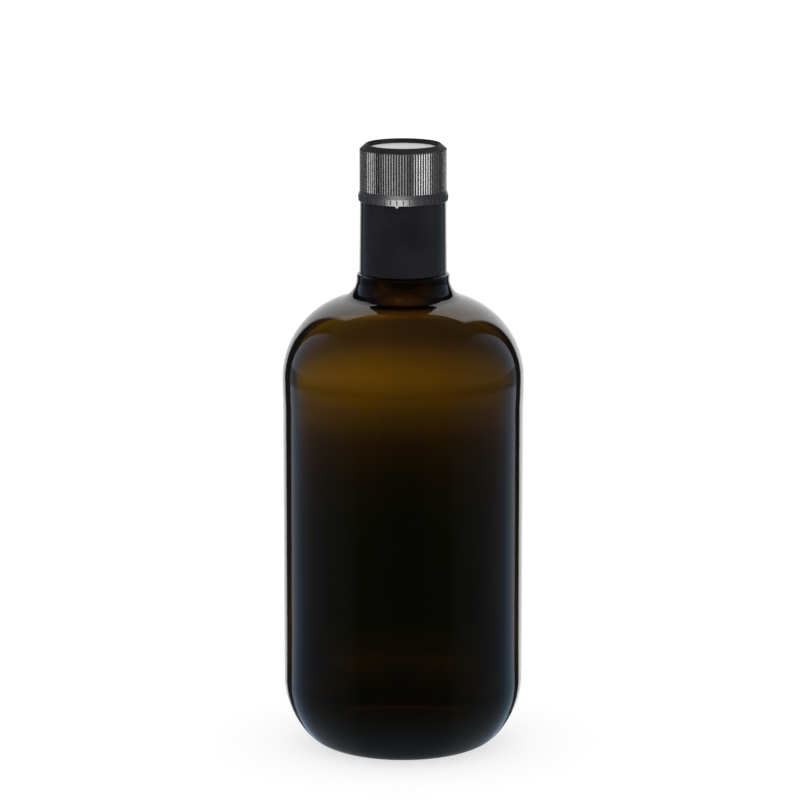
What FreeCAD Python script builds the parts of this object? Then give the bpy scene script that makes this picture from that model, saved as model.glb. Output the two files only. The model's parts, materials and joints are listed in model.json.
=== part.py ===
"""A dark glass table bottle with a tall black pouring closure, as a parametric document.

The foot stands on z = 0 and the bottle's axis is Z. Every section is a half section in the XZ plane,
turned about that axis. Lengths are millimetres.
"""

import FreeCAD, Part
import math
import os
import Sketcher

# Driving dimensions: name, value, what it is.
SIZES = [
    ("ring_radius", 44.0, "shoulder contact ring, the widest place of the glass"),
    ("panel_inset", 0.25, "how far the label panel lies below the ring"),
    ("body_height", 136.7, "foot to the spring of the shoulder"),
    ("ring_height", 1.3, "straight height of the contact ring"),
    ("ring_blend", 12.5, "height of the double curve from panel to ring"),
    ("heel_radius", 29.9, "wide upper curve of the heel, below the panel"),
    ("heel_foot_radius", 13.3, "tight lower curve of the heel, above the foot"),
    ("foot_radius", 25.6, "outer edge of the ring that the bottle stands on"),
    ("bearing_radius", 20.5, "inner edge of that ring"),
    ("punt_depth", 4.0, "rise of the hollow under the foot"),
    ("shoulder_radius", 30.8, "outer radius of the shoulder"),
    ("neck_fillet", 7.7, "hollow curve between shoulder and neck"),
    ("neck_straight", 0.8, "straight stretch under the ledge"),
    ("ledge_width", 2.8, "ledge beyond the finish, under the closure"),
    ("ledge_round", 1.2, "rounding of the ledge"),
    ("finish_radius", 14.1, "outside of the finish, inside the closure"),
    ("finish_reach", 3.6, "how far the mouth stands up inside the cap"),
    ("mouth_round", 0.8, "rounding of the mouth"),
    ("glass_wall", 3.05, "wall behind the label panel"),
    ("floor_thickness", 7.5, "glass between the foot and the floor inside"),
    ("heel_inner_radius", 17.0, "inner radius of the heel"),
    ("bore_radius", 9.25, "bore of the mouth"),
    ("throat_flare", 2.15, "how much wider the throat is than the bore"),
    ("throat_height", 11.0, "ledge to the top of the throat"),
    ("throat_taper", 12.0, "height over which the throat narrows to the bore"),
    ("throat_fillet", 9.0, "inner curve between shoulder and throat"),
    ("closure_gap", 0.3, "air between the finish and the closure"),
    ("sleeve_height", 26.5, "smooth skirt of the closure"),
    ("sleeve_top_wall", 1.2, "wall of the skirt at its top"),
    ("sleeve_foot_wall", 1.5, "wall of the skirt at its foot"),
    ("sleeve_round", 0.6, "rounding of the skirt's foot"),
    ("band_height", 3.8, "tamper band between skirt and cap"),
    ("band_wall", 1.8, "wall of the band at its widest"),
    ("band_top_wall", 1.25, "wall of the band under the cap"),
    ("band_flare_height", 1.5, "height over which the band widens"),
    ("band_draft", 0.08, "how much wider the band is at its foot"),
    ("pointer_angle", 8.0, "how far the pointer lies left of the front"),
    ("pointer_width", 1.9, "width of the pointer's upper edge"),
    ("pointer_foot", 0.25, "band's foot to the pointer's upper edge"),
    ("pointer_drop", 0.8, "how far the pointer hangs below the band"),
    ("pointer_rise", 0.12, "how far the pointer stands out"),
    ("cap_height", 16.7, "band to the crest of the cap"),
    ("cap_wall", 1.35, "wall of the cap over its ribs"),
    ("chamfer_height", 1.9, "height of the bevel under the crest"),
    ("chamfer_width", 2.1, "width of the bevel under the crest"),
    ("crest_width", 0.5, "flat top of the rim"),
    ("crest_round", 0.15, "rounding of the rim's two edges"),
    ("recess_depth", 2.1, "crest to the floor of the recess"),
    ("recess_taper", 0.5, "how much the recess narrows towards its floor"),
    ("rib_count", 100, "grip ribs round the cap"),
    ("groove_depth", 0.35, "depth of the grooves between ribs"),
    ("groove_width", 0.62, "width of a groove at its mouth"),
    ("groove_floor", 0.42, "width of a groove at its floor"),
    ("disc_thickness", 0.5, "pale inlay in the recess"),
    ("disc_gap", 0.1, "air round the inlay"),
    ("disc_bevel", 0.12, "bevel of the inlay's upper edge"),
]

# Places that follow from the sizes: name, formula.
PLACES = [
    ("panel_radius", "=ring_radius - panel_inset"),
    ("ring_foot", "=body_height - ring_height"),
    ("panel_top", "=ring_foot - ring_blend"),
    ("shoulder_centre", "=ring_radius - shoulder_radius"),
    ("neck_radius", "=finish_radius + ledge_width"),
    ("neck_reach", "=neck_radius + neck_fillet - shoulder_centre"),
    ("fillet_rise", "=sqrt((shoulder_radius + neck_fillet)^2 - neck_reach^2)"),
    ("ledge_level", "=body_height + fillet_rise + neck_straight + ledge_round"),
    ("inner_radius", "=panel_radius - glass_wall"),
    ("ring_inner", "=ring_radius - glass_wall"),
    ("shoulder_inner", "=ring_inner - shoulder_centre"),
    ("throat_radius", "=bore_radius + throat_flare"),
    ("throat_reach", "=throat_radius + throat_fillet - shoulder_centre"),
    ("throat_rise", "=sqrt((shoulder_inner + throat_fillet)^2 - throat_reach^2)"),
    ("throat_top", "=ledge_level + throat_height"),
    ("bore_foot", "=throat_top + throat_taper"),
    ("closure_bore", "=finish_radius + closure_gap"),
    ("sleeve_top", "=ledge_level + sleeve_height"),
    ("sleeve_top_radius", "=closure_bore + sleeve_top_wall"),
    ("sleeve_foot_radius", "=closure_bore + sleeve_foot_wall"),
    ("band_top", "=sleeve_top + band_height"),
    ("mouth_level", "=band_top + finish_reach"),
    ("band_shoulder", "=band_top - band_flare_height"),
    ("band_radius", "=closure_bore + band_wall"),
    ("band_waist_radius", "=band_radius - band_draft"),
    ("band_top_radius", "=closure_bore + band_top_wall"),
    ("cap_radius", "=closure_bore + cap_wall"),
    ("crest_level", "=band_top + cap_height"),
    ("chamfer_level", "=crest_level - chamfer_height"),
    ("crest_radius", "=cap_radius - chamfer_width"),
    ("rim_radius", "=crest_radius - crest_width"),
    ("recess_radius", "=rim_radius - recess_taper"),
    ("recess_level", "=crest_level - recess_depth"),
    ("disc_radius", "=recess_radius - disc_gap"),
    ("disc_level", "=recess_level + disc_thickness"),
]

OVERRUN = 1.0  # how far a cut runs on past the face where it leaves the solid
ORIGIN = -1  # the sketch's own origin and horizontal axis
UPRIGHT = -2  # the sketch's vertical axis, which is the bottle's
START, END, CENTRE = 1, 2, 3

doc = FreeCAD.newDocument("glass_bottle")
dims = doc.addObject("Spreadsheet::Sheet", "dims")


def fill_sheet():
    """Writes each size and place into the sheet, with its name as the cell's alias."""
    rows = SIZES + [(name, formula, "") for name, formula in PLACES]
    for row, (name, content, note) in enumerate(rows, start=1):
        dims.set(f"A{row}", name)
        dims.set(f"B{row}", str(content))
        dims.setAlias(f"B{row}", name)
        dims.set(f"C{row}", note)
    doc.recompute()


def size(name):
    """A size or place of the sheet as a number. A number stands for itself."""
    return float(getattr(dims, name)) if isinstance(name, str) else float(name)


def new_body(label):
    body = doc.addObject("PartDesign::Body", label)
    body.Label = label
    return body


def new_sketch(body, name, role):
    """An empty sketch on one of the body's own origin planes."""
    plane = next(f for f in body.Origin.OriginFeatures if f.Role == role)
    sketch = body.newObject("Sketcher::SketchObject", name)
    sketch.AttachmentSupport = [(plane, "")]
    sketch.MapMode = "FlatFace"
    return sketch


class Section:
    """A closed half section, drawn from point to point and tied to the sheet.

    A coordinate that is a name is a dimension bound to that cell, 0 lies on the axis, and any other
    number is only where the solver starts looking.
    """

    def __init__(self, body, name, radius, level):
        self.sketch = new_sketch(body, name, "XZ_Plane")
        self.begin = (radius, level)
        self.point = (size(radius), size(level))
        self.chain = []  # (geometry, the vertex it begins at, the vertex it ends at)
        self.smooth = False

    def bind(self, kind, geometry, vertex, name):
        """Holds one coordinate of a vertex to the axis or to a cell."""
        if isinstance(name, str):
            rule = Sketcher.Constraint(kind, ORIGIN, START, geometry, vertex, size(name))
            number = self.sketch.addConstraint(rule)
            self.sketch.setExpression(f"Constraints[{number}]", f"dims.{name}")
        elif name == 0:
            axis = UPRIGHT if kind == "DistanceX" else ORIGIN
            self.sketch.addConstraint(Sketcher.Constraint("PointOnObject", geometry, vertex, axis))

    def bind_radius(self, name):
        geometry = self.chain[-1][0]
        number = self.sketch.addConstraint(Sketcher.Constraint("Radius", geometry, size(name)))
        self.sketch.setExpression(f"Constraints[{number}]", f"dims.{name}")

    def add(self, shape, first, last, smooth):
        """Adds a piece and joins it to the one before, with a shared tangent where it is smooth."""
        geometry = self.sketch.addGeometry(shape, False)
        if self.chain:
            before, _, tail = self.chain[-1]
            kind = "Tangent" if smooth else "Coincident"
            self.sketch.addConstraint(Sketcher.Constraint(kind, before, tail, geometry, first))
        else:
            self.bind("DistanceX", geometry, first, self.begin[0])
            self.bind("DistanceY", geometry, first, self.begin[1])
        self.chain.append((geometry, first, last))
        return geometry

    def line(self, radius, level, smooth=False):
        ends = [FreeCAD.Vector(*self.point, 0), FreeCAD.Vector(size(radius), size(level), 0)]
        geometry = self.add(Part.LineSegment(*ends), START, END, smooth)
        self.point = (size(radius), size(level))
        return geometry

    def across(self, radius, smooth=False):
        """A level line out or in to a radius."""
        geometry = self.line(size(radius), self.point[1], smooth)
        self.sketch.addConstraint(Sketcher.Constraint("Horizontal", geometry))
        self.bind("DistanceX", geometry, END, radius)

    def upright(self, level, smooth=False):
        """A vertical line to a level."""
        geometry = self.line(self.point[0], size(level), smooth)
        self.sketch.addConstraint(Sketcher.Constraint("Vertical", geometry))
        self.bind("DistanceY", geometry, END, level)
        return geometry

    def slope(self, radius, level):
        geometry = self.line(radius, level)
        self.bind("DistanceX", geometry, END, radius)
        self.bind("DistanceY", geometry, END, level)

    def arc(self, centre, radius, turn, smooth=True):
        """An arc from here about a centre, through an angle in degrees, positive anticlockwise."""
        middle = FreeCAD.Vector(size(centre[0]), size(centre[1]), 0)
        here = math.atan2(self.point[1] - middle.y, self.point[0] - middle.x)
        there = here + math.radians(turn)
        circle = Part.Circle(middle, FreeCAD.Vector(0, 0, 1), size(radius))
        shape = Part.ArcOfCircle(circle, min(here, there), max(here, there))
        first, last = (START, END) if turn > 0 else (END, START)
        geometry = self.add(shape, first, last, smooth)
        reach = size(radius)
        self.point = (middle.x + reach * math.cos(there), middle.y + reach * math.sin(there))
        return geometry

    def close(self):
        """A last upright line back to the first point."""
        geometry = self.line(*self.begin)
        _, head, _ = self.chain[0]
        self.sketch.addConstraint(Sketcher.Constraint("Coincident", geometry, END, 0, head))
        return self.sketch


def turn_section(body, kind, name, sketch):
    """A Revolution or Groove of the section, all the way round the bottle's axis."""
    feature = body.newObject(f"PartDesign::{kind}", name)
    feature.Profile = sketch
    feature.ReferenceAxis = (sketch, ["V_Axis"])
    feature.Angle = 360
    doc.recompute()
    return feature


def ring_edges(feature, wanted):
    """The names of the circular edges at each (radius, level) pair."""
    names = []
    for number, edge in enumerate(feature.Shape.Edges, start=1):
        if edge.Degenerated or not isinstance(edge.Curve, Part.Circle):
            continue
        for radius, level in wanted:
            same_radius = abs(edge.Curve.Radius - size(radius)) < 0.01
            if same_radius and abs(edge.Curve.Center.z - size(level)) < 0.01:
                names.append(f"Edge{number}")
    return names


def round_edges(body, name, wanted, radius):
    """A fillet, bound to a cell, on the rings at the wanted radii and levels."""
    base = body.Tip
    fillet = body.newObject("PartDesign::Fillet", name)
    fillet.Base = (base, ring_edges(base, wanted))
    fillet.Radius = size(radius)
    fillet.setExpression("Radius", f"dims.{radius}")
    doc.recompute()
    return fillet


def polygon(sketch, corners):
    """A closed polygon. A corner is (across, up), and each of those is (starting value, formula)."""
    count = len(corners)
    points = [FreeCAD.Vector(x[0], y[0], 0) for x, y in corners]
    for number in range(count):
        sketch.addGeometry(Part.LineSegment(points[number], points[(number + 1) % count]), False)
    for number in range(count):
        follow = (number + 1) % count
        sketch.addConstraint(Sketcher.Constraint("Coincident", number, END, follow, START))
    for number, corner in enumerate(corners):
        for kind, (value, formula) in zip(("DistanceX", "DistanceY"), corner):
            rule = Sketcher.Constraint(kind, ORIGIN, START, number, START, value)
            index = sketch.addConstraint(rule)
            sketch.setExpression(f"Constraints[{index}]", formula)


def repeat_round(body, name, feature, sketch, axis, count):
    """The feature repeated all the way round the bottle's axis."""
    pattern = body.newObject("PartDesign::PolarPattern", name)
    pattern.Originals = [feature]
    pattern.Axis = (sketch, [axis])
    pattern.Angle = 360
    pattern.Occurrences = int(size(count))
    pattern.setExpression("Occurrences", f"dims.{count}")
    body.Tip = pattern
    doc.recompute()
    return pattern


def ring_rise(section, panel, ring):
    """A face of the wall, up the panel and by a slight double curve out to the contact ring."""
    straight = section.upright("panel_top", smooth=True)
    section.bind("DistanceX", straight, END, panel)
    blend_radius = (size("ring_blend") ** 2 / size("panel_inset") + size("panel_inset")) / 4
    blend_turn = math.degrees(math.asin(size("ring_blend") / 2 / blend_radius))
    lower = section.arc((size(panel) + blend_radius, "panel_top"), blend_radius, -blend_turn)
    upper = section.arc((size(ring) - blend_radius, "ring_foot"), blend_radius, blend_turn)
    section.sketch.addConstraint(Sketcher.Constraint("Equal", lower, upper))
    crown = section.upright("body_height", smooth=True)
    section.bind("DistanceX", crown, END, ring)
    section.bind("DistanceY", crown, START, "ring_foot")


def glass_outline(body):
    """The outside of the glass, from the punt round the heel, panel, shoulder and neck to the mouth."""
    section = Section(body, "GlassOutline", 0, "punt_depth")
    punt_radius = (size("bearing_radius") ** 2 + size("punt_depth") ** 2) / (2 * size("punt_depth"))
    punt_turn = math.degrees(math.asin(size("bearing_radius") / punt_radius))
    dome = section.arc((0, size("punt_depth") - punt_radius), punt_radius, -punt_turn)
    section.sketch.addConstraint(Sketcher.Constraint("PointOnObject", dome, CENTRE, UPRIGHT))
    section.bind("DistanceX", dome, START, "bearing_radius")
    section.bind("DistanceY", dome, START, 0)
    section.across("foot_radius")
    heel_centre = size("panel_radius") - size("heel_radius")
    centres_apart = size("heel_radius") - size("heel_foot_radius")
    heel_turn = math.asin((size("foot_radius") - heel_centre) / centres_apart)
    heel_level = size("heel_foot_radius") + centres_apart * math.cos(heel_turn)
    lower_turn = math.degrees(heel_turn)
    section.arc(("foot_radius", "heel_foot_radius"), "heel_foot_radius", lower_turn)
    section.bind_radius("heel_foot_radius")
    section.arc((heel_centre, heel_level), "heel_radius", 90 - lower_turn)
    section.bind_radius("heel_radius")
    ring_rise(section, "panel_radius", "ring_radius")

    centres_apart = size("shoulder_radius") + size("neck_fillet")
    lean = math.degrees(math.asin(size("neck_reach") / centres_apart))
    section.arc(("shoulder_centre", "body_height"), "shoulder_radius", 90 - lean)
    section.bind_radius("shoulder_radius")
    fillet_level = size("body_height") + size("fillet_rise")
    hollow = (size("neck_radius") + size("neck_fillet"), fillet_level)
    section.arc(hollow, "neck_fillet", lean - 90)
    section.bind_radius("neck_fillet")
    section.upright(fillet_level + size("neck_straight"), smooth=True)
    section.bind("DistanceX", section.chain[-1][0], END, "neck_radius")
    corner = (size("neck_radius") - size("ledge_round"), size("ledge_level") - size("ledge_round"))
    section.arc(corner, "ledge_round", 90)
    section.bind_radius("ledge_round")
    section.across("finish_radius", smooth=True)
    section.bind("DistanceY", section.chain[-1][0], END, "ledge_level")
    section.upright("mouth_level")
    section.across(0)
    return section.close()


def glass_cavity(body):
    """The inside of the glass, from the floor up through the throat and out of the mouth."""
    section = Section(body, "GlassCavity", 0, "floor_thickness")
    heel_centre = size("inner_radius") - size("heel_inner_radius")
    section.across(heel_centre)
    heel_level = size("floor_thickness") + size("heel_inner_radius")
    section.arc((heel_centre, heel_level), "heel_inner_radius", 90)
    section.bind_radius("heel_inner_radius")
    ring_rise(section, "inner_radius", "ring_inner")
    centres_apart = size("shoulder_inner") + size("throat_fillet")
    lean = math.degrees(math.asin(size("throat_reach") / centres_apart))
    section.arc(("shoulder_centre", "body_height"), "shoulder_inner", 90 - lean)
    section.bind_radius("shoulder_inner")
    hollow = (size("throat_radius") + size("throat_fillet"), size("body_height") + size("throat_rise"))
    section.arc(hollow, "throat_fillet", lean - 90)
    section.bind_radius("throat_fillet")
    section.upright("throat_top", smooth=True)
    section.bind("DistanceX", section.chain[-1][0], END, "throat_radius")
    section.slope("bore_radius", "bore_foot")
    section.upright("mouth_level")
    section.across(0)
    return section.close()


def make_bottle():
    body = new_body("bottle")
    turn_section(body, "Revolution", "GlassBlank", glass_outline(body))
    turn_section(body, "Groove", "GlassHollow", glass_cavity(body))
    mouth = [("finish_radius", "mouth_level"), ("bore_radius", "mouth_level")]
    round_edges(body, "MouthRounding", mouth, "mouth_round")
    return body


def make_sleeve():
    """The long smooth skirt, which stands on the ledge of the glass."""
    body = new_body("closure_sleeve")
    section = Section(body, "SleeveSection", "closure_bore", "ledge_level")
    section.across("sleeve_foot_radius")
    section.slope("sleeve_top_radius", "sleeve_top")
    section.across("closure_bore")
    turn_section(body, "Revolution", "SleeveBlank", section.close())
    round_edges(body, "SleeveRounding", [("sleeve_foot_radius", "ledge_level")], "sleeve_round")
    return body


def add_pointer(body):
    """A small triangle that hangs from the band's foot and marks where the closure opens."""
    sketch = new_sketch(body, "PointerFace", "XZ_Plane")
    half = size("pointer_width") / 2
    foot = size("sleeve_top")
    upper = foot + size("pointer_foot")
    tip = foot - size("pointer_drop")
    left = (-half, "-dims.pointer_width / 2")
    right = (half, "dims.pointer_width / 2")
    high = (upper, "dims.sleeve_top + dims.pointer_foot")
    point = ((0.001, "0.001"), (tip, "dims.sleeve_top - dims.pointer_drop"))
    polygon(sketch, [(left, high), point, (right, high)])
    swing = FreeCAD.Rotation(FreeCAD.Vector(0, 1, 0), -size("pointer_angle"))
    inside = size("sleeve_foot_radius")
    sketch.AttachmentOffset = FreeCAD.Placement(swing.multVec(FreeCAD.Vector(0, 0, inside)), swing)
    pad = body.newObject("PartDesign::Pad", "Pointer")
    pad.Profile = sketch
    pad.setExpression("Length", "dims.band_wall - dims.sleeve_foot_wall + dims.pointer_rise")
    doc.recompute()
    return pad


def make_band():
    """The tamper band between skirt and cap, a little proud of both."""
    body = new_body("tamper_band")
    section = Section(body, "BandSection", "closure_bore", "sleeve_top")
    section.across("band_radius")
    section.slope("band_waist_radius", "band_shoulder")
    section.slope("band_top_radius", "band_top")
    section.across("closure_bore")
    turn_section(body, "Revolution", "BandBlank", section.close())
    add_pointer(body)
    return body


def make_cap():
    """The ribbed screw cap, closed at the mouth, with a bevelled rim round a shallow recess."""
    body = new_body("screw_cap")
    section = Section(body, "CapSection", 0, "mouth_level")
    section.across("closure_bore")
    section.upright("band_top")
    section.across("cap_radius")
    section.upright("chamfer_level")
    section.slope("crest_radius", "crest_level")
    section.across("rim_radius")
    section.slope("recess_radius", "recess_level")
    section.across(0)
    turn_section(body, "Revolution", "CapBlank", section.close())
    rim = [("crest_radius", "crest_level"), ("rim_radius", "crest_level")]
    round_edges(body, "RimRounding", rim, "crest_round")

    sketch = new_sketch(body, "GrooveSection", "XY_Plane")
    sketch.setExpression("AttachmentOffset.Base.z", "dims.band_top")
    floor = (-size("cap_radius") + size("groove_depth"), "-dims.cap_radius + dims.groove_depth")
    mouth = (-size("cap_radius") - OVERRUN, f"-dims.cap_radius - {OVERRUN}")
    flare = size("groove_width") / 2
    narrow = size("groove_floor") / 2
    corners = [
        ((-narrow, "-dims.groove_floor / 2"), floor),
        ((-flare, "-dims.groove_width / 2"), mouth),
        ((flare, "dims.groove_width / 2"), mouth),
        ((narrow, "dims.groove_floor / 2"), floor),
    ]
    polygon(sketch, corners)
    before = body.Tip.Shape.Volume
    groove = body.newObject("PartDesign::Pocket", "Groove")
    groove.Profile = sketch
    groove.Reversed = True
    groove.setExpression("Length", "dims.cap_height")
    doc.recompute()
    pattern = repeat_round(body, "Grooves", groove, sketch, "N_Axis", "rib_count")
    if pattern.Shape.Volume >= before:
        raise RuntimeError("the grooves cut nothing from the cap")
    return body


def make_disc():
    """The pale inlay on the floor of the recess."""
    body = new_body("top_disc")
    section = Section(body, "DiscSection", 0, "recess_level")
    section.across("disc_radius")
    section.upright("disc_level")
    section.across(0)
    turn_section(body, "Revolution", "DiscBlank", section.close())
    round_edges(body, "DiscBevel", [("disc_radius", "disc_level")], "disc_bevel")
    return body


def check(bodies):
    """Stops if any object failed or a piece isn't one sound solid."""
    for thing in doc.Objects:
        if "Invalid" in thing.State or "Error" in thing.State:
            raise RuntimeError(f"{thing.Name} failed: {thing.State}")
    for body in bodies:
        shape = body.Shape
        if shape.isNull() or not shape.isValid() or len(shape.Solids) != 1:
            raise RuntimeError(f"{body.Label} isn't one sound solid")


fill_sheet()
bodies = [make_bottle(), make_sleeve(), make_band(), make_cap(), make_disc()]
doc.recompute()
check(bodies)
os.makedirs("parts", exist_ok=True)
for body in bodies:
    body.Shape.exportStep(f"parts/{body.Label}.step")
    box = body.Shape.BoundBox
    print(f"{body.Label}: {body.Shape.Volume / 1000:.2f} cm3, z {box.ZMin:.2f} to {box.ZMax:.2f}")
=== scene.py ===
import json
import math

import bmesh
import bpy
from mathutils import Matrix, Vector

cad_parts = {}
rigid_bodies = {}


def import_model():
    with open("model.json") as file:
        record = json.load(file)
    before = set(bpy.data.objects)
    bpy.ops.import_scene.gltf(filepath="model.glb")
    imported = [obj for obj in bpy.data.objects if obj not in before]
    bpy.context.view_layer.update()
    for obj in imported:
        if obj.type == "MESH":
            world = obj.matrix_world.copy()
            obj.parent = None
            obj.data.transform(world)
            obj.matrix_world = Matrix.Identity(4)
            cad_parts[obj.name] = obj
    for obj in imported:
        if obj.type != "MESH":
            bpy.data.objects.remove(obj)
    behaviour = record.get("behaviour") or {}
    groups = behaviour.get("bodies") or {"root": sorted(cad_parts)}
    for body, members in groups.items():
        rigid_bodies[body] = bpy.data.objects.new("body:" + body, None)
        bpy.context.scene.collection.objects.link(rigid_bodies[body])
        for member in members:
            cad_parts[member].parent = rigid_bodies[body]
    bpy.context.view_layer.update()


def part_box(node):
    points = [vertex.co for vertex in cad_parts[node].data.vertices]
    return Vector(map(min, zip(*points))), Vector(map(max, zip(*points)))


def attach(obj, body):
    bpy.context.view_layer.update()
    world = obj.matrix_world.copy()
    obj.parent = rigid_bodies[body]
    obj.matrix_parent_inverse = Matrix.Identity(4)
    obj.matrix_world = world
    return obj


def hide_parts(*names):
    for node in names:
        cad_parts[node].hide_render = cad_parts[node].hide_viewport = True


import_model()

mm = 0.001


# shader trees, written as expressions
class Value:
    # one output socket; arithmetic and comparison on it add Math nodes to its tree
    def __init__(self, shader, socket):
        self.shader = shader
        self.socket = socket

    def __add__(self, other):
        return self.shader.maths("ADD", self, other)

    def __radd__(self, other):
        return self.shader.maths("ADD", other, self)

    def __sub__(self, other):
        return self.shader.maths("SUBTRACT", self, other)

    def __rsub__(self, other):
        return self.shader.maths("SUBTRACT", other, self)

    def __mul__(self, other):
        return self.shader.maths("MULTIPLY", self, other)

    def __rmul__(self, other):
        return self.shader.maths("MULTIPLY", other, self)

    def __truediv__(self, other):
        return self.shader.maths("DIVIDE", self, other)

    def __rtruediv__(self, other):
        return self.shader.maths("DIVIDE", other, self)

    def __lt__(self, other):
        return self.shader.maths("LESS_THAN", self, other)

    def __gt__(self, other):
        return self.shader.maths("GREATER_THAN", self, other)


class Shader:
    def __init__(self, tree):
        self.tree = tree
        tree.nodes.clear()

    def node(self, kind, settings=None, inputs=None, output=0):
        # settings first, then values or links for the sockets
        made = self.tree.nodes.new(kind)
        for name, value in (settings or {}).items():
            if name == "stops":
                self.setStops(made.color_ramp, value)
            else:
                setattr(made, name, value)
        for name, value in (inputs or {}).items():
            if isinstance(value, Value):
                self.tree.links.new(value.socket, made.inputs[name])
            else:
                made.inputs[name].default_value = value
        return Value(self, made.outputs[output])

    def setStops(self, ramp, stops):
        while len(ramp.elements) > 1:
            ramp.elements.remove(ramp.elements[-1])
        ramp.elements[0].position = stops[0][0]
        for place, _ in stops[1:]:
            ramp.elements.new(place)
        for element, (_, shade) in zip(ramp.elements, stops):
            element.color = (*shade, 1) if isinstance(shade, tuple) else (shade, shade, shade, 1)

    def maths(self, operation, first, second=0.0):
        return self.node("ShaderNodeMath", {"operation": operation}, {0: first, 1: second})

    def vectorMaths(self, operation, first, second=(0, 0, 0), output=0):
        inputs = {0: first, 1: second}
        return self.node("ShaderNodeVectorMath", {"operation": operation}, inputs, output)

    def scaled(self, colour, strength):
        inputs = {0: colour, "Scale": strength}
        return self.node("ShaderNodeVectorMath", {"operation": "SCALE"}, inputs)

    def split(self, vector):
        return [self.node("ShaderNodeSeparateXYZ", inputs={0: vector}, output=axis) for axis in "XYZ"]

    def ramp(self, factor, stops):
        return self.node("ShaderNodeValToRGB", {"stops": stops}, {"Fac": factor})

    def spanRamp(self, value, first, last, stops):
        # a ramp whose stops are places on the value's own scale, between first and last
        places = [((place - first) / (last - first), shade) for place, shade in stops]
        return self.ramp((value - first) * (1 / (last - first)), places)

    def fade(self, value, start, end, low=0.0, high=1.0):
        # low up to the start, high from the end on
        span = {"From Min": start, "From Max": end, "To Min": low, "To Max": high}
        return self.node("ShaderNodeMapRange", inputs={"Value": value, **span})

    def mix(self, factor, first, second):
        # first where the factor is 0, second where it is 1
        return self.node("ShaderNodeMix", {"data_type": "RGBA"}, {"Factor": factor, 6: first, 7: second}, 2)

    def emission(self, colour):
        return self.node("ShaderNodeEmission", inputs={"Color": colour})

    def join(self, first, second):
        return self.node("ShaderNodeAddShader", inputs={0: first, 1: second})

    def isRay(self, kind):
        # 1 for rays of that kind, such as Glossy, and 0 for the rest
        return self.node("ShaderNodeLightPath", output=f"Is {kind} Ray")

    def noise(self, scale, detail, stretch=(1, 1, 1)):
        # noise on the object's own coordinates, finer along an axis with a larger stretch
        place = self.node("ShaderNodeTexCoord", output="Object")
        place = self.node("ShaderNodeMapping", inputs={"Vector": place, "Scale": stretch})
        sizes = {"Vector": place, "Scale": scale, "Detail": detail}
        return self.node("ShaderNodeTexNoise", {"noise_dimensions": "3D"}, sizes)

    def bump(self, height, strength, distance):
        sizes = {"Height": height, "Strength": strength, "Distance": distance}
        return self.node("ShaderNodeBump", inputs=sizes)

    def finish(self, **sockets):
        output = self.tree.nodes.new("ShaderNodeOutputMaterial")
        for name, value in sockets.items():
            self.tree.links.new(value.socket, output.inputs[name])


def newMaterial(name):
    material = bpy.data.materials.new(name)
    material.use_nodes = True
    return material, Shader(material.node_tree)


def arcPoints(centre, radius, start, end, steps):
    # an arc from start to end degrees, as (radius, level) points after its first
    turn = (end - start) / steps
    angles = [math.radians(start + turn * step) for step in range(1, steps + 1)]
    return [(centre[0] + radius * math.cos(a), centre[1] + radius * math.sin(a)) for a in angles]


def skinRings(bm, lower, upper):
    # faces between two matching rings; where one is a pole they are triangles
    for step in range(len(lower)):
        follow = (step + 1) % len(lower)
        corners = [lower[step], lower[follow], upper[follow], upper[step]]
        bm.faces.new(dict.fromkeys(corners))


def addPiece(name, bm, material=None):
    mesh = bpy.data.meshes.new(name)
    bm.to_mesh(mesh)
    bm.free()
    if material:
        mesh.materials.append(material)
    piece = bpy.data.objects.new(name, mesh)
    bpy.context.scene.collection.objects.link(piece)
    return piece


def turnProfile(name, profile, segments, material, closed=False, sharp=35):
    # a closed skin from a half section in millimetres; a point on the axis becomes a pole
    bm = bmesh.new()
    rings = []
    for radius, level in profile:
        if radius == 0:
            rings.append([bm.verts.new((0, 0, level * mm))] * segments)
            continue
        ring = []
        for step in range(segments):
            angle = 2 * math.pi * step / segments
            x, y = radius * mm * math.cos(angle), radius * mm * math.sin(angle)
            ring.append(bm.verts.new((x, y, level * mm)))
        rings.append(ring)
    upperRings = rings[1:] + (rings[:1] if closed else [])
    for lower, upper in zip(rings, upperRings):
        skinRings(bm, lower, upper)
    bmesh.ops.recalc_face_normals(bm, faces=bm.faces)
    piece = addPiece(name, bm, material)
    piece.data.polygons.foreach_set("use_smooth", [True] * len(piece.data.polygons))
    piece.data.set_sharp_from_angle(angle=math.radians(sharp))
    return piece


def finishPiece(piece, node):
    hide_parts(node)
    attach(piece, "root")
    print(f"{piece.name}: {len(piece.data.polygons)} faces")


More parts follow.
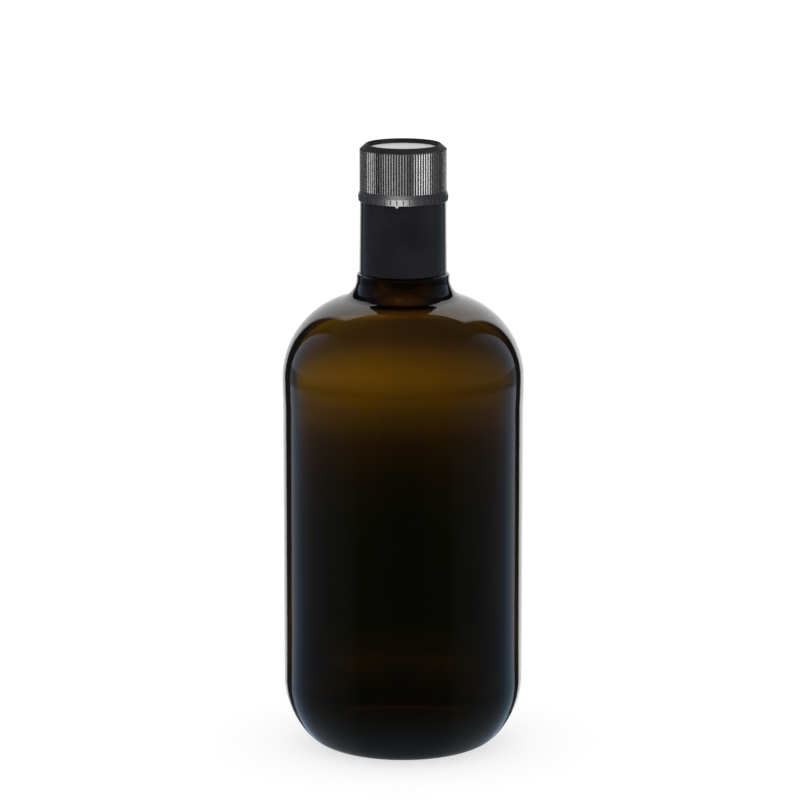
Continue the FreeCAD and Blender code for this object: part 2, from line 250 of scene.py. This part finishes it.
glass = {
    "ior": 1.52,
    "tint": (0.685, 0.578, 0.05),  # what the glass lets through of each colour
    "density": 1300.0,
    "roughness": (0.0, 0.012),
    "film": {"scale": 40, "detail": 4, "stretch": (1, 1, 0.6)},
    "filmShades": [(0.0, (0.99, 0.99, 0.99)), (1.0, (1, 1, 1))],
    "waves": {"scale": 16, "detail": 2, "stretch": (1, 1, 0.35)},
    "waveHeight": 0.00006,

    # sizes in millimetres
    "segments": 192,
    "ringRadius": 44.0,
    "panelRadius": 43.75,
    "panelRings": (60, 100),  # levels where the panel has a ring of corners
    "bodyHeight": 136.7,
    "ringHeight": 1.3,
    "ringBlend": 12.5,
    "heelRadius": 29.9,
    "heelFootRadius": 13.3,
    "footRadius": 25.6,
    "bearingRadius": 20.5,
    "puntDepth": 4.0,
    "shoulderRadius": 30.8,
    "neckFillet": 7.7,
    "neckStraight": 0.8,
    "neckRadius": 16.9,
    "ledgeRound": 1.2,
    "finishRadius": 14.1,
    "closureTop": 30.3,  # ledge to the top of the tamper band
    "finishReach": 3.6,
    "mouthRound": 0.8,
    "wall": 3.05,
    "floor": 7.5,
    "heelInner": 17.0,
    "boreRadius": 9.25,
    "throatRadius": 11.4,
    "throatHeight": 11.0,
    "throatTaper": 12.0,
    "throatFillet": 9.0,
}


def ledgeLevel(s):
    centre = s["ringRadius"] - s["shoulderRadius"]
    apart = s["shoulderRadius"] + s["neckFillet"]
    reach = s["neckRadius"] + s["neckFillet"] - centre
    return s["bodyHeight"] + math.sqrt(apart ** 2 - reach ** 2) + s["neckStraight"] + s["ledgeRound"]


def mouthLevel(s):
    return ledgeLevel(s) + s["closureTop"] + s["finishReach"]


def ringRise(s, inward):
    # the wall's slight swelling up to the shoulder, at a depth below the outside
    panel = s["panelRadius"] - inward
    ring = s["ringRadius"] - inward
    blend = (s["ringBlend"] ** 2 / (ring - panel) + ring - panel) / 4
    blendTurn = math.degrees(math.asin(s["ringBlend"] / 2 / blend))
    ringFoot = s["bodyHeight"] - s["ringHeight"]
    points = [(panel, ringFoot - s["ringBlend"])]
    points += arcPoints((panel + blend, ringFoot - s["ringBlend"]), blend, 180, 180 - blendTurn, steps=6)
    points += arcPoints((ring - blend, ringFoot), blend, -blendTurn, 0, steps=6)
    return points + [(ring, s["bodyHeight"])]


def glassOutside(s):
    puntRadius = (s["bearingRadius"] ** 2 + s["puntDepth"] ** 2) / (2 * s["puntDepth"])
    puntTurn = math.degrees(math.asin(s["bearingRadius"] / puntRadius))
    heelCentre = s["panelRadius"] - s["heelRadius"]
    heelApart = s["heelRadius"] - s["heelFootRadius"]
    heelTurn = math.degrees(math.asin((s["footRadius"] - heelCentre) / heelApart))
    heelLevel = s["heelFootRadius"] + heelApart * math.cos(math.radians(heelTurn))
    points = [(0, s["puntDepth"])]
    points += arcPoints((0, s["puntDepth"] - puntRadius), puntRadius, 90, 90 - puntTurn, steps=10)
    points += [(s["footRadius"], 0)]
    tight = s["heelFootRadius"]
    points += arcPoints((s["footRadius"], tight), tight, -90, heelTurn - 90, steps=16)
    points += arcPoints((heelCentre, heelLevel), s["heelRadius"], heelTurn - 90, 0, steps=24)

    points += [(s["panelRadius"], level) for level in s["panelRings"]]
    points += ringRise(s, 0)

    centre = s["ringRadius"] - s["shoulderRadius"]
    apart = s["shoulderRadius"] + s["neckFillet"]
    lean = math.degrees(math.asin((s["neckRadius"] + s["neckFillet"] - centre) / apart))
    filletLevel = s["bodyHeight"] + apart * math.cos(math.radians(lean))
    points += arcPoints((centre, s["bodyHeight"]), s["shoulderRadius"], 0, 90 - lean, steps=40)
    hollow = (s["neckRadius"] + s["neckFillet"], filletLevel)
    points += arcPoints(hollow, s["neckFillet"], 270 - lean, 180, steps=20)
    ledge = filletLevel + s["neckStraight"]
    points += [(s["neckRadius"], ledge)]
    points += arcPoints((s["neckRadius"] - s["ledgeRound"], ledge), s["ledgeRound"], 0, 90, steps=8)
    points += [(s["finishRadius"], ledge + s["ledgeRound"])]
    rim = mouthLevel(s) - s["mouthRound"]
    points += [(s["finishRadius"], rim)]
    points += arcPoints((s["finishRadius"] - s["mouthRound"], rim), s["mouthRound"], 0, 90, steps=6)
    return points


def glassInside(s):
    mouth = mouthLevel(s)
    ledge = ledgeLevel(s)
    rim = mouth - s["mouthRound"]
    corner = s["boreRadius"] + s["mouthRound"]
    throatTop = ledge + s["throatHeight"]
    points = [(corner, mouth)]
    points += arcPoints((corner, rim), s["mouthRound"], 90, 180, steps=6)
    points += [(s["boreRadius"], throatTop + s["throatTaper"]), (s["throatRadius"], throatTop)]
    centre = s["ringRadius"] - s["shoulderRadius"]
    inner = s["panelRadius"] - s["wall"]
    turn = s["shoulderRadius"] - s["wall"]
    apart = turn + s["throatFillet"]
    lean = math.degrees(math.asin((s["throatRadius"] + s["throatFillet"] - centre) / apart))
    filletLevel = s["bodyHeight"] + apart * math.cos(math.radians(lean))
    points += [(s["throatRadius"], filletLevel)]
    hollow = (s["throatRadius"] + s["throatFillet"], filletLevel)
    points += arcPoints(hollow, s["throatFillet"], 180, 270 - lean, steps=20)
    points += arcPoints((centre, s["bodyHeight"]), turn, 90 - lean, 0, steps=40)
    points += ringRise(s, s["wall"])[-2::-1]
    heelLevel = s["floor"] + s["heelInner"]
    points += [(inner, level) for level in (*reversed(s["panelRings"]), heelLevel)]
    points += arcPoints((inner - s["heelInner"], heelLevel), s["heelInner"], 0, -90, steps=30)
    points += [(0, s["floor"])]
    return points


def makeGlass():
    s = glass
    material, shader = newMaterial("darkAmberGlass")
    waves = shader.noise(**s["waves"])
    film = shader.noise(**s["film"])
    low, high = s["roughness"]
    sockets = {
        "Base Color": shader.ramp(film, s["filmShades"]),
        "Roughness": low + film * (high - low),
        "IOR": s["ior"],
        "Transmission Weight": 1.0,
        "Normal": shader.bump(waves, 1.0, s["waveHeight"]),
    }
    surface = shader.node("ShaderNodeBsdfPrincipled", inputs=sockets)
    body = {"Color": (*s["tint"], 1), "Density": s["density"]}
    volume = shader.node("ShaderNodeVolumeAbsorption", inputs=body)
    shader.finish(Surface=surface, Volume=volume)
    piece = turnProfile("glassBottle", glassOutside(s) + glassInside(s), s["segments"], material)
    finishPiece(piece, "bottle")


# what the black pieces of the closure share
plastic = {
    "ior": 1.5,
    "cloud": {"scale": 70, "detail": 3},
    "clouding": [(0.3, 0.8), (0.7, 1.25)],  # noise, and the share of the piece's colour there
    "grain": {"scale": 900, "detail": 3},
    "grainStrength": 0.4,
}


def cloudedBlack(shader, look):
    # a slightly uneven colour and roughness
    cloud = shader.noise(**plastic["cloud"])
    low, high = look["roughness"]
    shades = []
    for place, share in plastic["clouding"]:
        shades.append((place, tuple(part * share for part in look["colour"])))
    return {
        "Base Color": shader.ramp(cloud, shades),
        "Roughness": low + cloud * (high - low),
        "IOR": plastic["ior"],
    }


def plasticMaterial(name, look):
    material, shader = newMaterial(name)
    grain = shader.noise(**plastic["grain"])
    sockets = cloudedBlack(shader, look)
    sockets["Normal"] = shader.bump(grain, plastic["grainStrength"], look["grainHeight"])
    shader.finish(Surface=shader.node("ShaderNodeBsdfPrincipled", inputs=sockets))
    return material


def repeatRound(piece, part, count, material):
    # a Geometry Nodes tree that sets a part at even steps round the axis, with its place in its mesh
    tree = bpy.data.node_groups.new(f"{part.name}Round", "GeometryNodeTree")
    face = tree.interface
    face.new_socket("Geometry", in_out="INPUT", socket_type="NodeSocketGeometry")
    face.new_socket("Geometry", in_out="OUTPUT", socket_type="NodeSocketGeometry")
    countSocket = face.new_socket("Count", in_out="INPUT", socket_type="NodeSocketInt")
    partSocket = face.new_socket("Part", in_out="INPUT", socket_type="NodeSocketObject")
    materialSocket = face.new_socket("Material", in_out="INPUT", socket_type="NodeSocketMaterial")

    def add(kind, **settings):
        made = tree.nodes.new(kind)
        for name, value in settings.items():
            setattr(made, name, value)
        return made

    link = tree.links.new
    given = add("NodeGroupInput")
    out = add("NodeGroupOutput")
    points = add("GeometryNodePoints")
    index = add("GeometryNodeInputIndex")
    step = add("ShaderNodeMath", operation="DIVIDE")
    turn = add("ShaderNodeMath", operation="MULTIPLY")
    rotation = add("ShaderNodeCombineXYZ")
    info = add("GeometryNodeObjectInfo", transform_space="ORIGINAL")
    instances = add("GeometryNodeInstanceOnPoints")
    real = add("GeometryNodeRealizeInstances")
    join = add("GeometryNodeJoinGeometry")
    paint = add("GeometryNodeSetMaterial")
    turn.inputs[1].default_value = 2 * math.pi
    link(given.outputs["Count"], points.inputs["Count"])
    link(index.outputs[0], step.inputs[0])
    link(given.outputs["Count"], step.inputs[1])
    link(step.outputs[0], turn.inputs[0])
    link(turn.outputs[0], rotation.inputs["Z"])
    link(given.outputs["Part"], info.inputs["Object"])
    link(points.outputs[0], instances.inputs["Points"])
    link(info.outputs["Geometry"], instances.inputs["Instance"])
    link(rotation.outputs[0], instances.inputs["Rotation"])
    link(instances.outputs[0], real.inputs[0])
    link(real.outputs[0], paint.inputs["Geometry"])
    link(given.outputs["Material"], paint.inputs["Material"])
    link(given.outputs["Geometry"], join.inputs[0])
    link(paint.outputs[0], join.inputs[0])
    link(join.outputs[0], out.inputs[0])

    modifier = piece.modifiers.new("round", "NODES")
    modifier.node_group = tree
    modifier[countSocket.identifier] = count
    modifier[partSocket.identifier] = part
    modifier[materialSocket.identifier] = material
    evaluated = piece.evaluated_get(bpy.context.evaluated_depsgraph_get())
    mesh = bpy.data.meshes.new_from_object(evaluated)
    piece.modifiers.clear()
    piece.data = mesh
    bpy.data.objects.remove(part)


def prism(name, sections):
    # a solid through matching rings of (x, y, z) corners in millimetres, capped at both ends
    bm = bmesh.new()
    rings = [[bm.verts.new(Vector(corner) * mm) for corner in ring] for ring in sections]
    for lower, upper in zip(rings, rings[1:]):
        skinRings(bm, lower, upper)
    bm.faces.new(rings[0])
    bm.faces.new(rings[-1])
    bmesh.ops.recalc_face_normals(bm, faces=bm.faces)
    return addPiece(name, bm)


def joinInto(piece, other):
    bm = bmesh.new()
    bm.from_mesh(piece.data)
    bm.from_mesh(other.data)
    bm.to_mesh(piece.data)
    bm.free()
    bpy.data.objects.remove(other)


sleeve = {
    "segments": 160,
    "bore": 14.4,
    "footRadius": 15.9,
    "topRadius": 15.62,
    "foot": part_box("closure_sleeve")[0].z / mm,
    "top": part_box("closure_sleeve")[1].z / mm,
    "round": 0.6,
    "topEdge": 0.1,
    # satin
    "colour": (0.019, 0.0195, 0.024),
    "roughness": (0.12, 0.20),
    "grainHeight": 0.000004,
}


def makeSleeve():
    s = sleeve
    corner = (s["footRadius"] - s["round"], s["foot"] + s["round"])
    profile = [(s["bore"], s["foot"]), (corner[0], s["foot"])]
    profile += arcPoints(corner, s["round"], -90, 0, steps=8)
    profile += [
        (s["topRadius"], s["top"] - s["topEdge"]),
        (s["topRadius"] - s["topEdge"], s["top"]),
        (s["bore"], s["top"]),
    ]
    material = plasticMaterial("sleevePlastic", s)
    piece = turnProfile("closureSleeve", profile, s["segments"], material, closed=True)
    finishPiece(piece, "closure_sleeve")


band = {
    "segments": 160,
    "bore": 14.4,
    "footRadius": 16.2,
    "waistRadius": 16.12,
    "topRadius": 15.65,
    "foot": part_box("closure_sleeve")[1].z / mm,
    "footEdge": 0.12,
    "flareHeight": 1.5,
    "top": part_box("tamper_band")[1].z / mm,
    "tickCount": 44,
    "tickWidth": 0.55,
    "tickHeight": 1.7,
    "tickProud": 0.07,
    "tickRoot": 0.1,
    "tickTaper": 0.7,
    "tickFoot": 0.45,
    "pointerAngle": 8.0,
    "pointerWidth": 1.9,
    "pointerDrop": 0.8,
    "pointerTop": 0.25,
    "pointerReach": (15.9, 16.3),
    "colour": (0.008, 0.008, 0.010),
    "roughness": (0.32, 0.42),
    "grainHeight": 0.00001,
    "tickFinish": {"colour": (0.006, 0.006, 0.007), "roughness": (0.85, 0.95), "grainHeight": 0.00001},
}


def makePointer(s):
    # a small wedge that hangs from the band's foot, a little left of the front
    swing = math.radians(-s["pointerAngle"])
    top = s["foot"] + s["pointerTop"]
    tip = s["foot"] - s["pointerDrop"]
    wide = s["pointerWidth"] / 2
    rings = []
    for reach in s["pointerReach"]:
        ring = []
        for across, level in ((-wide, top), (0, tip), (wide, top)):
            x = across * math.cos(swing) + reach * math.sin(swing)
            y = across * math.sin(swing) - reach * math.cos(swing)
            ring.append((x, y, level))
        rings.append(ring)
    return prism("pointer", rings)


def makeTick(s):
    half = s["tickWidth"] / 2
    front = half * s["tickTaper"]
    inner = s["waistRadius"] - s["tickRoot"]
    outer = s["footRadius"] + s["tickProud"]
    low = s["foot"] + s["tickFoot"]
    section = [(-half, -inner), (-front, -outer), (front, -outer), (half, -inner)]
    return prism("tick", [[(x, y, level) for x, y in section] for level in (low, low + s["tickHeight"])])


def makeBand():
    s = band
    profile = [
        (s["bore"], s["foot"]),
        (s["footRadius"] - s["footEdge"], s["foot"]),
        (s["footRadius"], s["foot"] + s["footEdge"]),
        (s["waistRadius"], s["top"] - s["flareHeight"]),
        (s["topRadius"], s["top"]),
        (s["bore"], s["top"]),
    ]
    material = plasticMaterial("bandPlastic", s)
    piece = turnProfile("tamperBand", profile, s["segments"], material, closed=True, sharp=12)
    joinInto(piece, makePointer(s))
    repeatRound(piece, makeTick(s), s["tickCount"], plasticMaterial("tickPlastic", s["tickFinish"]))
    finishPiece(piece, "tamper_band")


cap = {
    "segments": 180,
    "radius": 15.75,
    "grooveFloor": 15.4,
    "foot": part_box("screw_cap")[0].z / mm,
    "footEdge": 0.1,
    "bore": 14.4,
    "mouthLevel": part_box("bottle")[1].z / mm,
    "chamferHeight": 1.9,
    "chamferWidth": 2.1,
    "crest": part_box("screw_cap")[1].z / mm,
    "crestWidth": 0.5,
    "crestRound": 0.15,
    "crestEdge": 0.02,
    "recessDepth": 2.1,
    "recessTaper": 0.5,
    "ribCount": 100,
    "ribRoot": (0.28, 0.12),  # half width, and depth under the core's skin
    "ribFlank": (0.24, 0.24),  # half width, and height over the core
    "ribCrest": 0.15,
    # the crests of the ribs are polished by handling, the grooves stay matt
    "colour": (0.005, 0.005, 0.006),
    "roughness": (0.5, 0.62),
    "gloss": 0.15,
    "crestRoughness": 0.2,
    "crestDepth": (0.04, 0.01),  # where the polish starts and is full, below the radius
    "wear": {"scale": 400, "detail": 3},
    "polish": (0.55, 1.45),  # least and most, by the wear
}


def gripMaterial(s):
    material, shader = newMaterial("capPlastic")
    place = shader.node("ShaderNodeTexCoord", output="Object")
    flat = shader.vectorMaths("MULTIPLY", place, (1, 1, 0))
    radius = shader.vectorMaths("LENGTH", flat, output="Value")
    start, full = [(s["radius"] - depth) * mm for depth in s["crestDepth"]]
    least, most = s["polish"]
    wear = shader.noise(**s["wear"])
    sockets = cloudedBlack(shader, s)
    sockets["Specular IOR Level"] = s["gloss"]
    sockets["Coat Weight"] = shader.fade(radius, start, full) * (least + wear * (most - least))
    sockets["Coat Roughness"] = s["crestRoughness"]
    shader.finish(Surface=shader.node("ShaderNodeBsdfPrincipled", inputs=sockets))
    return material


def makeRib(s, bevelFoot, floorTop):
    # a rib of the cap at the front, rooted in the core and bevelled off at its top
    core = s["grooveFloor"]
    rootHalf, rootDepth = s["ribRoot"]
    half = [(rootHalf, -rootDepth), s["ribFlank"], (s["ribCrest"], s["radius"] - core)]
    section = [(-x, out) for x, out in half] + half[::-1]
    edge = s["footEdge"]
    rings = []
    for level, shrink in ((s["foot"], edge), (s["foot"] + edge, 0.0), (bevelFoot, 0.0)):
        rings.append([(x, -(core + out - shrink * (out > 0)), level) for x, out in section])
    rings.append([(x, -(core - rootDepth), floorTop) for x, _ in section])
    return prism("gripRib", rings)


def makeCap():
    s = cap
    bevelFoot = s["crest"] - s["chamferHeight"]
    crestRadius = s["radius"] - s["chamferWidth"]
    depth = s["radius"] - s["grooveFloor"]
    floorTop = bevelFoot + s["chamferHeight"] * depth / s["chamferWidth"]
    rim = crestRadius - s["crestWidth"]
    recess = rim - s["recessTaper"]
    profile = [
        (0, s["mouthLevel"]),
        (s["bore"], s["mouthLevel"]),
        (s["bore"], s["foot"]),
        (s["grooveFloor"] - s["footEdge"], s["foot"]),
        (s["grooveFloor"], s["foot"] + s["footEdge"]),
        (s["grooveFloor"], floorTop),
        (crestRadius + s["crestRound"], s["crest"] - s["crestRound"]),
        (crestRadius, s["crest"] - s["crestEdge"]),
        (crestRadius - s["crestRound"], s["crest"]),
        (rim + s["crestRound"], s["crest"]),
        (rim, s["crest"] - s["crestRound"]),
        (recess, s["crest"] - s["recessDepth"]),
        (0, s["crest"] - s["recessDepth"]),
    ]
    material = gripMaterial(s)
    piece = turnProfile("screwCap", profile, s["segments"], material)
    repeatRound(piece, makeRib(s, bevelFoot, floorTop), s["ribCount"], material)
    finishPiece(piece, "screw_cap")


disc = {
    "segments": 128,
    "radius": 12.55,
    "foot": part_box("top_disc")[0].z / mm,
    "thickness": 0.5,
    "bevel": 0.12,
    "cloud": {"scale": 60, "detail": 3},
    "shades": [(0.3, (0.58, 0.58, 0.59)), (0.7, (0.66, 0.66, 0.66))],
    "roughness": (0.5, 0.65),
    "gloss": 0.15,
    "grain": {"scale": 1500, "detail": 2},
    "grainStrength": 0.3,
    "grainHeight": 0.00001,
}


def makeDisc():
    s = disc
    material, shader = newMaterial("discInlay")
    cloud = shader.noise(**s["cloud"])
    grain = shader.noise(**s["grain"])
    low, high = s["roughness"]
    sockets = {
        "Base Color": shader.ramp(cloud, s["shades"]),
        "Roughness": low + cloud * (high - low),
        "Specular IOR Level": s["gloss"],
        "Normal": shader.bump(grain, s["grainStrength"], s["grainHeight"]),
    }
    shader.finish(Surface=shader.node("ShaderNodeBsdfPrincipled", inputs=sockets))
    top = s["foot"] + s["thickness"]
    profile = [(0, s["foot"]), (s["radius"], s["foot"]), (s["radius"], top - s["bevel"])]
    profile += [(s["radius"] - s["bevel"], top), (0, top)]
    piece = turnProfile("topDisc", profile, s["segments"], material)
    finishPiece(piece, "top_disc")


# A reflection, and a look through the glass, meet the ramps below; everything else meets a white sky and
# a pale floor. On the floor the ramps are painted light: painted reflections, a painted glow and painted
# shade.
# Angles are in degrees from straight behind the bottle, places along the floor in metres
# from its axis. A ramp is the two ends of its scale and the colours at places between them.
studio = {
    "skyColour": (1, 1, 1, 1),
    "floorRadius": 12.0,
    "floorSegments": 64,
    "floorColour": (0.38, 0.38, 0.38, 1),
    "floorLift": 0.69,  # what the camera sees on top of the lit floor

    # reflections: a lit backdrop with a dark gap at each edge, then light that falls off round both sides
    "gapEnd": 43.5,
    "backdrop": (-90, 90, [(-28.0, 0.035), (-25.5, 1.05), (0, 1.1), (28.5, 1.4), (31.0, 0.035)]),
    "sides": (0, 180, [
        (44, (0.55, 0.63, 0.73)), (48.5, (0.50, 0.60, 0.72)), (52, (0.33, 0.45, 0.60)),
        (60, (0.21, 0.30, 0.41)), (67, (0.16, 0.21, 0.28)), (80, (0.13, 0.14, 0.165)),
        (107, (0.10, 0.11, 0.10)), (125, (0.08, 0.09, 0.07)), (140, (0.045, 0.05, 0.03)),
        (180, (0.04, 0.045, 0.03)),
    ]),
    "backdropTop": 57.5,
    "sidesTop": (36.0, 56.0),
    "sidesReach": (0.7, 0.82, 1, 0.45),  # fades along the floor
    "overhead": (0.06, 0.06, 0.06, 1),
    "bodyRadius": 0.0437,
    # a bluish glow painted on the floor close to the bottle, which the glass's foot shows as a painted
    # reflection
    "paintedUnderGlow": (0, 1, [(0.03, (0.13, 0.14, 0.18)), (0.07, (0.02, 0.023, 0.03)), (0.11, (0, 0, 0))]),

    # through the glass: a glow straight behind only, brighter and greener towards the left; on the floor it
    # is a painted glow, dark close behind the bottle as painted shade
    "paintedThroughGlowAndShade": (0, 4.0, [
        (0.05, (0.004, 0.02, 0)), (0.11, (0.055, 0.05, 0)), (0.18, (0.006, 0.025, 0)),
        (0.36, (0.006, 0.025, 0)), (0.45, 0.034), (0.52, 0.12), (0.555, 0.225), (0.60, 0.55),
        (0.635, 0.95), (0.685, 1.22), (0.73, 1.1), (0.79, 0.92), (1.0, 0.45), (1.2, 0.38),
        (2.0, 0.5), (4.0, 1.2),
    ]),
    "skyThrough": (2, 9, 1.0, 0.15),  # fades with height
    "throughWidth": (16, 20, 1, 0),
    "paintedGlowLean": (-0.5, 0.5, [
        (-0.15, (2.0, 2.7, 1.2)), (-0.06, (1.42, 1.5, 1.0)), (0.0, 1.0), (0.05, 0.85),
        (0.14, (1.0, 1.3, 1.0)),
    ]),

    # past a dark gap the surroundings are plain, and close to the bottle they are dark; on the floor this
    # darkness is painted shade
    "plainBeside": (0, 180, [(37, 0), (43, 0.8), (58, 0.8), (66, 0)]),
    "plainRound": (0, 180, [(58, 0), (66, 0.6), (150, 0.6), (160, 0.12)]),
    "besideReach": (0.1, 0.2),
    "roundReach": (0.2, 0.75),
}

degree = 180 / math.pi


def surround(shader, lateral, compass):
    # the backdrop by its angle to either side, and the sides by their turn from straight behind
    return shader.spanRamp(lateral, *studio["backdrop"]), shader.spanRamp(compass, *studio["sides"])


def makeWorld():
    world = bpy.data.worlds.new("studio")
    world.use_nodes = True
    bpy.context.scene.world = world
    shader = Shader(world.node_tree)
    x, y, z = shader.split(shader.node("ShaderNodeTexCoord", output="Generated"))
    across = shader.maths("ABSOLUTE", x)
    lateral = shader.maths("ARCSINE", x) * degree
    compass = shader.maths("ARCTAN2", across, y) * degree
    raised = shader.maths("ARCSINE", z) * degree
    over = shader.maths("ARCTAN2", z, y) * degree
    backdrop, sides = surround(shader, lateral, compass)
    backdrop = shader.mix(over < studio["backdropTop"], studio["overhead"], backdrop)
    sides = shader.mix(shader.fade(raised, *studio["sidesTop"]), sides, studio["overhead"])
    within = (across < math.sin(studio["gapEnd"] / degree)) * (0 < y)
    reflected = shader.mix(within, sides, backdrop)
    through = shader.fade(raised, *studio["skyThrough"]) * shader.fade(compass, *studio["throughWidth"])
    through = through + shader.spanRamp(compass, *studio["plainBeside"])
    through = through + shader.spanRamp(compass, *studio["plainRound"])
    seen = shader.mix(shader.isRay("Glossy"), studio["skyColour"], reflected)
    seen = shader.mix(shader.isRay("Transmission"), seen, through)
    back = shader.node("ShaderNodeBackground", inputs={"Color": seen, "Strength": 1.0})
    output = shader.tree.nodes.new("ShaderNodeOutputWorld")
    shader.tree.links.new(back.socket, output.inputs["Surface"])
    print("studio: sky")


def paintedFloorReflection(shader, distance, compass, side):
    # what a reflection meets on the floor: a painted reflection, with the backdrop and sides glowing from
    # the floor, and a painted bluish glow close to the bottle
    backdrop, sides = surround(shader, compass * side, compass)
    sides = shader.scaled(sides, shader.fade(distance, *studio["sidesReach"]))
    around = shader.emission(shader.mix(compass < studio["gapEnd"], sides, backdrop))
    under = shader.emission(shader.spanRamp(distance, *studio["paintedUnderGlow"]))
    return shader.join(around, under)


def paintedThroughGlowAndShade(shader, x, distance, heading):
    # what a look through the glass meets on the floor: a painted glow behind the bottle, and painted shade
    # close to it
    glow = shader.spanRamp(distance, *studio["paintedThroughGlowAndShade"])
    glow = shader.vectorMaths("MULTIPLY", glow, shader.spanRamp(x, *studio["paintedGlowLean"]))
    glow = shader.emission(shader.scaled(glow, shader.fade(heading, *studio["throughWidth"])))
    beside = shader.spanRamp(heading, *studio["plainBeside"])
    beside = beside * shader.fade(distance, *studio["besideReach"])
    around = shader.spanRamp(heading, *studio["plainRound"])
    around = around * shader.fade(distance, *studio["roundReach"])
    return shader.join(glow, shader.emission(beside + around))


def makeFloor():
    material, shader = newMaterial("paleFloor")
    place = shader.node("ShaderNodeTexCoord", output="Object")
    x, y, _ = shader.split(place)
    side = shader.maths("SIGN", x)
    distance = shader.vectorMaths("LENGTH", place, output="Value")
    # a reflection leaves the flank, not the axis, so its heading is a little less than its place tells
    heading = shader.maths("ARCTAN2", shader.maths("ABSOLUTE", x), y)
    slack = shader.maths("COSINE", heading * 0.5) * studio["bodyRadius"] / distance
    around = paintedFloorReflection(shader, distance, (heading - slack) * degree, side)
    through = paintedThroughGlowAndShade(shader, x, distance, heading * degree)
    matte = shader.node("ShaderNodeBsdfDiffuse", inputs={"Color": studio["floorColour"]})
    surface = shader.join(matte, shader.emission(shader.isRay("Camera") * studio["floorLift"]))
    # reflections and looks through the glass see the painted light above instead of the floor's own colour
    for kind, met in (("Glossy", around), ("Transmission", through)):
        inputs = {0: shader.isRay(kind), 1: surface, 2: met}
        surface = shader.node("ShaderNodeMixShader", inputs=inputs)
    shader.finish(Surface=surface)
    bm = bmesh.new()
    segments, radius = studio["floorSegments"], studio["floorRadius"]
    bmesh.ops.create_circle(bm, cap_ends=True, segments=segments, radius=radius)
    addPiece("floor", bm, material)
    print("studio: floor")


lampAim = Vector((0, 0, 0.21))
lamps = {
    "left": {"on": "screwCap", "place": (-0.9, 0.06, 0.2), "size": (0.5, 0.4), "power": 8.0},
    "front": {"on": "screwCap", "place": (-0.34, -0.85, 0.2), "size": (1.2, 0.4), "power": 13.0},
    "right": {"on": "screwCap", "place": (0.72, -0.55, 0.2), "size": (0.8, 0.4), "power": 25.0},
    "low": {"on": "tamperBand", "place": (-0.22, -0.95, 0.25), "size": (0.9, 0.5), "power": 33.0},
}


def makeLamps():
    # each lamp lights one piece only
    for name, lamp in lamps.items():
        lit = bpy.data.collections.new(f"{name}Lit")
        lit.objects.link(bpy.data.objects[lamp["on"]])
        light = bpy.data.lights.new(name, "AREA")
        light.shape = "RECTANGLE"
        light.size, light.size_y = lamp["size"]
        light.energy = lamp["power"]
        made = bpy.data.objects.new(name, light)
        made.location = lamp["place"]
        made.rotation_euler = (lampAim - Vector(lamp["place"])).to_track_quat("-Z", "Y").to_euler()
        made.light_linking.receiver_collection = lit
        made.visible_camera = False
        bpy.context.scene.collection.objects.link(made)
    print(f"studio: {len(lamps)} lamps")


cameraView = {
    "place": (-0.00116, -1.571, 0.4497),
    "pitch": 11.5655,
    "lens": 198.09,
    "sensor": 36,
    "clip": (0.05, 60),
}


def makeCamera():
    data = bpy.data.cameras.new("camera")
    data.sensor_width = cameraView["sensor"]
    data.lens = cameraView["lens"]
    data.clip_start, data.clip_end = cameraView["clip"]
    camera = bpy.data.objects.new("camera", data)
    camera.location = cameraView["place"]
    camera.rotation_euler = (math.radians(90 - cameraView["pitch"]), 0, 0)
    bpy.context.scene.collection.objects.link(camera)
    bpy.context.scene.camera = camera
    print("camera set")


makeCamera()
makeGlass()
makeSleeve()
makeBand()
makeCap()
makeDisc()
makeWorld()
makeFloor()
makeLamps()
bpy.context.scene.view_settings.view_transform = "Standard"

print("scene made")
